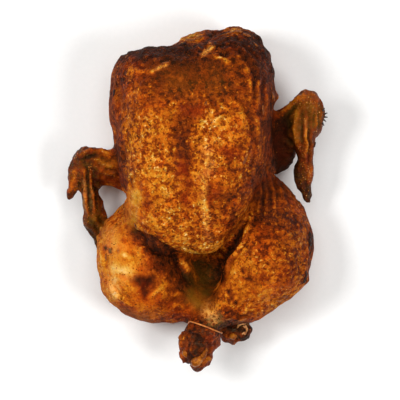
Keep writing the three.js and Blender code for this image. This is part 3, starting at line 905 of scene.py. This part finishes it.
def roasted_skin():
    """The whole bird's skin, and the clay it was shaped in, which seats the small pieces."""
    mesh = fine_copy(BIRD)
    clay = Clay(mesh)
    bird, height = shape_skin(clay)
    clay.write()
    clay.bird = bird
    clay.facing = clay.normals()
    clay.brown = browning(clay, bird, height)
    points = clay.points
    ragged = fringed(clay, 51)
    speckle = covered(ragged, 0.88, SPECKLED) - 0.5 * bird.wings + 0.35 * waves(points, 20, 53)
    gloss = (0.45 + 0.3 * waves(points, 14, 52) + 0.35 * bird.wings + 0.2 * bird.knuckles).clip(0, 1)
    in_shade = dab(points, 13, [(61, 58), (61, 24)])
    gloss *= 1 - in_shade
    gloss *= 0.1 + 0.9 * rising(clay.facing[:, 2], 0.2, 0.7)
    wet = bird.wings * (1 - in_shade)
    clay.note("browning", clay.brown, speckle, gloss)
    clay.note("tint", *(bird.upper * summed(ragged, marks) for marks in (REDDENED, PALED, PURPLED)))
    clay.note("place", bird.upper * summed(ragged, OLIVE), wet)
    mesh.shade_smooth()
    mesh.materials.append(skin_material("roasted_skin", 0.10))
    mesh.materials.append(skin_material("glossy_wing_skin", 0.20))
    shiny = np.maximum(wet, bird.knuckles)[clay.faces].mean(axis=1) > 0.5
    mesh.polygons.foreach_set("material_index", shiny.astype(np.int32))
    skin = finished("roasted_skin", mesh)
    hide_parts(BIRD)
    return clay


# ---- The skin's finish ------------------------------------------------------------------------------
def linear(red, green, blue):
    """A colour given as it shows on a screen, 0 to 255, as the linear light that a shader takes."""
    parts = (value / 255 for value in (red, green, blue))
    return tuple(p / 12.92 if p <= 0.04045 else ((p + 0.055) / 1.055) ** 2.4 for p in parts)


def tones(*stops):
    """The stops of a ramp, each a position and a colour as it shows on a screen."""
    return [(position, linear(*color)) for position, *color in stops]


# From pale, barely browned skin to char.
SKIN_TONES = tones(
    (0.00, 244, 214, 158), (0.16, 232, 178, 92), (0.28, 216, 142, 42), (0.38, 202, 112, 20),
    (0.50, 168, 76, 10), (0.60, 134, 54, 8), (0.72, 98, 36, 6), (0.85, 60, 22, 6), (1.00, 28, 10, 5),
)
GAP_BROWN = linear(88, 30, 6)
RED_BROWN = linear(140, 36, 6)
PINK_CREAM = linear(230, 170, 88)
PURPLE_BROWN = linear(60, 24, 17)
OLIVE_BROWN = linear(108, 74, 12)


def skin_material(name, specular):
    """Browned, mottled and freckled skin with painted shade and painted glints in its colour, greasy in
    places, wet and crinkled on the wings.
    """
    m = Material(name)
    brown = m.channel("browning", 0)
    speckle = m.channel("browning", 1)
    gloss = m.channel("browning", 2)
    red, pale, purple = (m.channel("tint", n) for n in range(3))
    olive = m.channel("place", 0)
    wet = m.channel("place", 1)

    wander = m.noise(m.place, wavelength=3.0, detail=2, out="Color")
    ragged = m.shifted(m.place, wander, 2.4)
    patches = m.noise(ragged, wavelength=9.0, detail=5, rough=0.62)
    mottle = m.noise(ragged, wavelength=3.4, detail=4, rough=0.62)
    grain = m.noise(m.place, wavelength=1.3, detail=2, rough=0.6)
    specks = m.noise(ragged, wavelength=3.6, detail=3, rough=0.6).step(0.53, 0.60)
    dots = m.noise(ragged, wavelength=2.0, detail=2).step(0.54, 0.62)
    flecks = (specks * 0.8 + dots * 0.45).clamped()
    elsewhere = m.shifted(ragged, (50.0, 20.0, 10.0), 1.0)
    painted_glints_and_tips = m.noise(elsewhere, wavelength=3.0, detail=3, rough=0.6).step(0.55, 0.66)
    domes = m.cells(ragged, 2.5)
    crinkled = m.noise(m.place, wavelength=3.0, detail=4, rough=0.65, distortion=0.8)
    spots = follicles(m, ragged, spacing=4.2, size=0.28) * 0.8 + follicles(m, ragged, spacing=2.6, size=0.46)

    clusters = patches.step(0.40, 0.62)
    brown = brown + (patches - 0.5) * (speckle * 0.30 + 0.16) + (grain - 0.5) * 0.24
    brown = brown + speckle * (mottle.step(0.47, 0.60) - 0.46) * 0.26
    # Painted highlights: small paler glints on scattered tips; the same tips are also raised in the bump and
    # made glossier below.
    brown = brown - speckle * (1 - flecks) * painted_glints_and_tips * 0.26
    color = m.ramp(brown.clamped(), SKIN_TONES)
    leaning = m.noise(ragged, wavelength=13.0, detail=3, rough=0.6)
    color = m.mix(leaning.step(0.48, 0.64) * 0.75, color, (1.0, 0.70, 0.55), "MULTIPLY")
    color = m.mix(leaning.step(0.50, 0.36) * 0.60, color, (1.0, 1.10, 0.80), "MULTIPLY")
    freckled = speckle * (1 - brown.step(0.62, 0.90)) * (spots * 0.8 + flecks * (0.20 + clusters * 0.62))
    color = m.mix(freckled.clamped(), color, GAP_BROWN)
    color = m.mix((red * patches.step(0.3, 0.6) * 0.75).clamped(), color, RED_BROWN)
    color = m.mix((purple * mottle.step(0.3, 0.6) * 0.7).clamped(), color, PURPLE_BROWN)
    color = m.mix((olive * 0.7 + wet * crinkled.step(0.45, 0.60) * 0.30).clamped(), color, OLIVE_BROWN)
    color = m.mix((pale * (1 - flecks) * (1 - spots.clamped()) * 0.8).clamped(), color, PINK_CREAM)

    ripple = m.noise(ragged, wavelength=2.6, detail=3, rough=0.55)
    height = wet * crinkled * 1.6 + ripple * 0.9 + grain * 0.24 + mottle * 0.5 + painted_glints_and_tips * 0.3
    height = height - speckle * (domes * 0.4 + flecks * 0.45)
    damp = m.noise(m.place, wavelength=3.0, detail=3)
    greasy = (gloss * 0.4 + gloss * (painted_glints_and_tips * 0.5 + damp.step(0.44, 0.60))).clamped()
    greasy = (greasy + wet * crinkled.step(0.50, 0.62) * 0.55).clamped()
    m.finish(
        color=color,
        roughness=(0.80 - greasy * 0.60).clamped(),
        height=height,
        constants={"Specular IOR Level": specular, "Specular Tint": WARM_SHEEN},
    )
    return m.made


def follicles(m, place, spacing, size):
    """Scattered soft spots, each of its own strength."""
    near = 1 - m.cells(place, spacing).step(size * 0.35, size)
    own = m.node("ShaderNodeSeparateColor", {}, m.cells(place, spacing, out="Color"))
    return near * own.step(0.10, 0.65)


# ---- Pieces laid on the skin ------------------------------------------------------------------------
def ball(levels):
    work = bmesh.new()
    bmesh.ops.create_icosphere(work, subdivisions=levels, radius=1)
    points = np.array([vertex.co[:] for vertex in work.verts])
    faces = np.array([[vertex.index for vertex in face.verts] for face in work.faces])
    work.free()
    return points, faces


def unit(vector):
    return vector / np.linalg.norm(vector)


def seat(clay, x, y, reach=2.0):
    """The top of the skin at a place seen from above: the point, and which way the skin faces."""
    away = np.linalg.norm(clay.points[:, :2] - (x, y), axis=1)
    faces_up = clay.facing[:, 2] >= 0.1
    away = np.where(faces_up, away, np.inf)
    where = np.flatnonzero(away < max(reach, away.min() + 0.5))
    top = where[clay.points[where, 2].argmax()]
    return clay.points[top], clay.facing[top]


def lump(place, size, turn, seed, rough, levels=4, up=(0, 0, 1)):
    """An uneven rounded lump: size is its three half-widths, turn its heading in degrees."""
    points, faces = ball(levels)
    swell = waves(points, 0.62, seed) + 0.4 * waves(points, 0.3, seed + 1)
    points = points * (1 + rough * swell[:, None])
    heading = np.array([math.cos(math.radians(turn)), math.sin(math.radians(turn)), 0.0])
    up = unit(np.asarray(up, float))
    heading = unit(heading - up * (heading @ up))
    axes = np.stack([heading, np.cross(up, heading), up])
    return (points * size) @ axes + np.asarray(place, float), faces


def heap(name, parts, material):
    """One finished piece from several closed shapes."""
    shift = 0
    points = []
    faces = []
    for part_points, part_faces in parts:
        points.append(part_points)
        faces.append(part_faces + shift)
        shift += len(part_points)
    mesh = bpy.data.meshes.new(name)
    mesh.from_pydata((np.concatenate(points) * MM).tolist(), [], np.concatenate(faces).tolist())
    mesh.materials.append(material)
    mesh.shade_smooth()
    finished(name, mesh)


def finished(name, mesh):
    piece = object_of(name, mesh)
    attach(piece, "root")
    return piece


def glossy_knuckles(clay):
    """Amber gristle on the ends of the shank bones."""
    m = Material("amber_gristle")
    swirl = m.noise(m.place, wavelength=4.0, detail=4, rough=0.6, distortion=0.6)
    fine = m.noise(m.place, wavelength=1.2, detail=2)
    color = m.ramp(swirl * 0.8 + fine * 0.2, tones(
        (0.32, 78, 32, 6), (0.46, 132, 66, 12), (0.60, 176, 100, 24), (0.76, 212, 142, 52),
    ))
    m.finish(color=color, roughness=swirl * 0.2 + 0.2, height=swirl * 0.5 + fine * 0.15,
             constants={"Specular IOR Level": 0.2, "Specular Tint": (1.0, 0.8, 0.6, 1)})
    knobs = [
        (3.0, -118.4, (6.0, 3.4, 4.8), 42), (8.4, -112.6, (2.0, 3.4, 3.0), -20),
        (0.2, -121.6, (2.8, 2.2, 3.0), 20), (-9.4, -111.8, (2.7, 3.4, 3.0), 30),
        (10.6, -109.5, (1.6, 2.0, 2.0), 20), (11.6, -117, (1.6, 2.4, 2.0), 60),
        (26.6, -101.4, (2.9, 2.5, 2.4), 10),
    ]
    parts = []
    for n, (x, y, size, turn) in enumerate(knobs):
        place, up = seat(clay, x, y)
        parts.append(lump(place - up * size[2] * 0.5, size, turn, 61 + 2 * n, 0.13))
    heap("shank_gristle", parts, m.made)


def cut_bone(clay):
    """The pale rim of the bone that shows at the end of the lower shank."""
    m = Material("cut_bone")
    pits = m.cells(m.place, spacing=0.9)
    cloud = m.noise(m.place, wavelength=2.4, detail=3)
    color = m.mix(cloud.step(0.4, 0.68), linear(206, 138, 74), linear(140, 76, 30))
    m.finish(color=color, roughness=cloud * 0.2 + 0.4, height=pits * 0.4)
    rim = []
    for step, degrees in enumerate(np.linspace(-60, 170, 11)):
        angle = math.radians(degrees)
        place, up = seat(clay, 35.4 + 4.0 * math.cos(angle), -95.4 + 2.7 * math.sin(angle))
        rim.append(lump(place - up * 0.1, (1.7, 0.75, 0.8), degrees + 90, 71 + step, 0.2, 3, up))
    heap("cut_bone_rim", rim, m.made)


def flakes(name, clay, list_of_flakes, dark_to_pale):
    """Dry flakes that stand up off the skin, each as x, y, length, width, heading."""
    m = Material(name)
    fibre = m.noise(m.place, wavelength=2.2, detail=4, rough=0.62, distortion=0.4)
    fine = m.noise(m.place, wavelength=0.7, detail=2)
    color = m.ramp(fibre * 0.75 + fine * 0.25, list(zip((0.36, 0.48, 0.60, 0.74), dark_to_pale)))
    m.finish(color=color, roughness=fibre * 0.3 + 0.3, height=fibre * 0.6 + fine * 0.2,
             constants={"Specular IOR Level": 0.15})
    parts = []
    for n, (x, y, length, width, heading) in enumerate(list_of_flakes):
        place, up = seat(clay, x, y)
        size = (length / 2, width / 2, 0.6)
        parts.append(lump(place, size, heading, 80 + 3 * n, 0.34, up=up))
    heap(name, parts, m.made)


def golden_flakes(clay):
    flakes("golden_flakes", clay, [
        (6.5, 67, 3.4, 2.2, 60), (-4, 116.5, 7, 4, 10), (2.5, 118.2, 6, 3.4, 30), (26, 121.5, 7, 3.4, 15),
        (32, 122, 6, 3.4, -10), (38, 119.2, 6, 3, -30), (57.6, 74.5, 6.5, 3, -70),
        (-50.6, 103.6, 4.5, 1.8, 100), (45, 112, 5, 2.2, -40), (66.5, -71.5, 6.5, 2.4, -40),
        (62, -74.6, 5, 2, -30), (-44, -19, 6, 1.8, -30), (-37, -23.2, 6, 1.6, -28), (-66, -42, 5, 1.6, -80),
        (24, -88.5, 6, 1.8, 5), (35, -89, 7, 1.8, 5), (-55, 50, 5, 1.6, 95), (-46.5, 12, 9, 1.6, 92),
        (37, 27, 7, 2.6, 70), (-22, 98, 6, 2.0, 20), (12, -32, 5, 1.8, -10), (50.5, 64, 6, 1.8, 88),
    ], [linear(66, 26, 8), linear(118, 56, 14), linear(164, 90, 26), linear(206, 138, 60)])


def charred_flaps(clay):
    """Burnt frills along the right thigh's outer edge and the neck end."""
    flakes("charred_flaps", clay, [
        (85, -25, 5, 2.6, -80), (85.6, -31, 5.5, 3.0, -85), (84.6, -36.5, 4, 2.4, -70),
        (82.5, -54, 5, 2.8, -75), (81, -59, 4.5, 2.6, -60), (-50, 106, 4, 2.4, 20),
        (-8, 113, 5, 2.4, 30), (52, 104, 5, 2.2, -60), (57, 92, 5, 2.0, -85),
        (-59, 78, 6, 2.0, 88), (89.5, 40, 4, 1.8, 80), (83.5, 3, 4, 1.8, -80),
    ], [linear(18, 8, 5), linear(36, 14, 6), linear(60, 24, 8), linear(104, 50, 14)])


class Growth(Nodes):
    """A Geometry Nodes tree, with named number inputs, that grows something on its host."""

    def __init__(self, name, inputs):
        super().__init__(bpy.data.node_groups.new(name, "GeometryNodeTree"))
        face = self.tree.interface
        face.new_socket("Geometry", in_out="INPUT", socket_type="NodeSocketGeometry")
        for title, value in inputs.items():
            socket = face.new_socket(title, in_out="INPUT", socket_type="NodeSocketFloat")
            socket.default_value = value
        face.new_socket("Geometry", in_out="OUTPUT", socket_type="NodeSocketGeometry")
        entry = self.tree.nodes.new("NodeGroupInput")
        self.given = {socket.name: Wire(self, socket) for socket in entry.outputs if socket.name}

    def close(self, instances, roughness, material):
        """Real mesh from the instances, made uneven, with its material on."""
        shape = self.node("GeometryNodeRealizeInstances", {}, instances)
        place = self.node("GeometryNodeInputPosition")
        uneven = self.noise(place, wavelength=0.9 * MM, out="Color")
        centred = self.node("ShaderNodeVectorMath", {"operation": "SUBTRACT"}, uneven, (0.5, 0.5, 0.5))
        offset = self.node("ShaderNodeVectorMath", {"operation": "SCALE"}, centred, Scale=roughness)
        shape = self.node("GeometryNodeSetPosition", {}, shape, Offset=offset)
        shape = self.node("GeometryNodeSetMaterial", {}, shape, Material=material)
        exit_node = self.tree.nodes.new("NodeGroupOutput")
        self.tree.links.new(shape.socket, exit_node.inputs[0])

    def grown_on(self, host, name, **inputs):
        """A plain mesh of what grows on the host, with the inputs given by their titles."""
        modifier = host.modifiers.new("growth", "NODES")
        modifier.node_group = self.tree
        for item in self.tree.interface.items_tree:
            if item.in_out == "INPUT" and item.name in inputs:
                modifier[item.identifier] = inputs[item.name]
        mesh = evaluated(host, name)
        mesh.shade_smooth()
        return mesh


def scattered(name, clay, share, per_square_metre, largest, flatness, material):
    """Small rounded grains over the skin, more of them where the share is high, as one piece."""
    tree = Growth(name, {"Per Square Metre": 1000.0, "Smallest": 0.3 * MM, "Largest": 0.6 * MM})
    given = tree.given
    weight = tree.node("GeometryNodeInputNamedAttribute", {"data_type": "FLOAT"}, out="Attribute",
                       Name="share")
    points = tree.node(
        "GeometryNodeDistributePointsOnFaces", {"distribute_method": "RANDOM"}, out="Points",
        Mesh=given["Geometry"], Density=weight * given["Per Square Metre"], Seed=17,
    )
    rotation = Wire(tree, points.socket.node.outputs["Rotation"])
    grain = tree.node("GeometryNodeMeshIcoSphere", {}, Radius=1.0, Subdivisions=1)
    grain = tree.node("GeometryNodeTransform", {}, grain, Scale=(1.0, 1.3, flatness))
    size = tree.node("FunctionNodeRandomValue", {"data_type": "FLOAT"}, given["Smallest"],
                     given["Largest"], None, 5, out=1)
    grains = tree.node("GeometryNodeInstanceOnPoints", {}, Points=points, Instance=grain,
                       Rotation=rotation, Scale=size)
    tree.close(grains, 0.35 * MM, material)
    mesh = clay.mesh.copy()
    layer = mesh.attributes.new("share", "FLOAT", "POINT")
    layer.data.foreach_set("value", share.clip(0, 1).astype(np.float32))
    grown = tree.grown_on(object_of("host", mesh), name, **{
        "Per Square Metre": per_square_metre, "Smallest": 0.22 * MM, "Largest": largest,
    })
    finished(name, grown)


def burnt_crumbs(clay):
    """Fine dark crumbs of seasoning and char, thickest near the neck end."""
    m = Material("burnt_crumbs")
    cloud = m.noise(m.place, wavelength=2.0, detail=3, rough=0.6)
    color = m.ramp(cloud, tones((0.35, 60, 22, 5), (0.52, 98, 38, 7), (0.68, 146, 76, 16)))
    m.finish(color=color, roughness=cloud * 0.3 + 0.5, height=cloud * 0.3,
             constants={"Specular IOR Level": 0.1, "Specular Tint": (1.0, 0.7, 0.45, 1)})
    points = clay.points
    thickest = [(1.0, 16, [(-20, 86), (24, 86)]), (0.8, 14, [(-40, 100), (40, 104)])]
    share = 0.25 + 0.75 * summed(points, thickest) + 0.35 * rising(waves(points, 12, 92), 0, 0.6)
    share = share * rising(clay.facing[:, 2], 0.0, 0.5) * rising(points[:, 1], -90, -80)
    share = share * (1 - clay.bird.wings)
    scattered("burnt_crumbs", clay, share, 160000.0, 0.48 * MM, 0.7, m.made)


def fat_beads(clay):
    """Small beads of set fat and blistered skin that catch the light; their pale cream colour also paints in
    pin-point highlights.
    """
    m = Material("fat_beads")
    cloud = m.noise(m.place, wavelength=3.0, detail=3)
    color = m.ramp(cloud, tones((0.35, 150, 70, 14), (0.55, 198, 112, 30), (0.72, 232, 168, 92)))
    m.finish(color=color, roughness=cloud * 0.2 + 0.1, height=cloud * 0.1,
             constants={"Coat Weight": 0.3, "Coat Roughness": 0.06})
    points = clay.points
    share = rising(waves(points, 9, 93), -0.2, 0.6) * rising(clay.facing[:, 2], 0.0, 0.6)
    share = share * rising(clay.brown, 0.66, 0.5) * rising(points[:, 1], -92, -84)
    on_wings = clay.bird.wings * rising(waves(points, 7, 94), -0.2, 0.3)
    on_wings = on_wings * rising(clay.brown, 0.92, 0.8) * rising(clay.facing[:, 2], 0.2, 0.6)
    scattered("fat_beads", clay, np.maximum(share, on_wings), 150000.0, 0.50 * MM, 0.5, m.made)


def quill_stubs(clay):
    """Burnt ends of feather quills on the right wing's outer edge, each as x, y, heading."""
    stubs = [(93.4, 63.6, 55), (94.2, 61.4, 20), (94.6, 59.2, -5), (94.4, 57.2, -40), (93.8, 55.4, -60)]
    tree = Growth("quills", {"Length": 2.2 * MM, "Thickness": 0.8 * MM})
    heading = tree.node("GeometryNodeInputNamedAttribute", {"data_type": "FLOAT_VECTOR"},
                        out="Attribute", Name="heading")
    pointed = tree.node("FunctionNodeAlignRotationToVector", {"axis": "Z"}, Vector=heading)
    cone = tree.node("GeometryNodeMeshCone", {}, Vertices=8, **{
        "Side Segments": 4, "Radius Top": tree.given["Thickness"] * 0.35,
        "Radius Bottom": tree.given["Thickness"], "Depth": tree.given["Length"],
    })
    quills = tree.node("GeometryNodeInstanceOnPoints", {}, Points=tree.given["Geometry"],
                       Instance=cone, Rotation=pointed)
    m = Material("burnt_quill")
    cloud = m.noise(m.place, wavelength=0.8, detail=2)
    color = m.mix(cloud, linear(14, 7, 4), linear(44, 24, 12))
    m.finish(color=color, roughness=cloud * 0.3 + 0.3, height=cloud * 0.1)
    tree.close(quills, 0.25 * MM, m.made)
    mesh = bpy.data.meshes.new("quill_roots")
    roots = [seat(clay, x, y, 0.6)[0] * MM for x, y, _ in stubs]
    mesh.from_pydata([tuple(root) for root in roots], [], [])
    layer = mesh.attributes.new("heading", "FLOAT_VECTOR", "POINT")
    turns = [math.radians(turn) for _, _, turn in stubs]
    aims = [(math.cos(turn), math.sin(turn), 0.1) for turn in turns]
    layer.data.foreach_set("vector", np.array(aims, np.float32).ravel())
    host = object_of("quill_host", mesh)
    finished("quill_stubs", tree.grown_on(host, "quill_stubs", Length=2.6 * MM))


def trussing_band():
    """The elastic band, rounded and drawn in a little against the shanks."""
    copy = object_of("band_copy", merged_copy(BAND))
    round_out = copy.modifiers.new("round", "SUBSURF")
    round_out.levels = 2
    round_out.render_levels = 2
    mesh = evaluated(copy, "elastic_band")
    inward = np.empty(len(mesh.vertices) * 3, np.float32)
    place = np.empty_like(inward)
    mesh.vertices.foreach_get("normal", inward)
    mesh.vertices.foreach_get("co", place)
    mesh.vertices.foreach_set("co", place - 0.25 * MM * inward)
    m = Material("elastic_band")
    stain = m.noise(m.place, wavelength=7.0, detail=4, rough=0.6)
    fine = m.noise(m.place, wavelength=0.8, detail=2)
    color = m.ramp(stain * 0.85 + fine * 0.15, tones(
        (0.34, 236, 172, 100), (0.52, 214, 126, 50), (0.68, 150, 74, 22),
    ))
    m.finish(color=color, roughness=stain * 0.3 + 0.3, height=fine * 0.12)
    mesh.materials.append(m.made)
    mesh.shade_smooth()
    band = finished("elastic_band", mesh)
    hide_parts(BAND)


# ---- Work order of the scene --------------------------------------------------------------------------
place_camera()
light_studio()
lay_floor()
skin = roasted_skin()
glossy_knuckles(skin)
cut_bone(skin)
golden_flakes(skin)
charred_flaps(skin)
burnt_crumbs(skin)
fat_beads(skin)
quill_stubs(skin)
trussing_band()
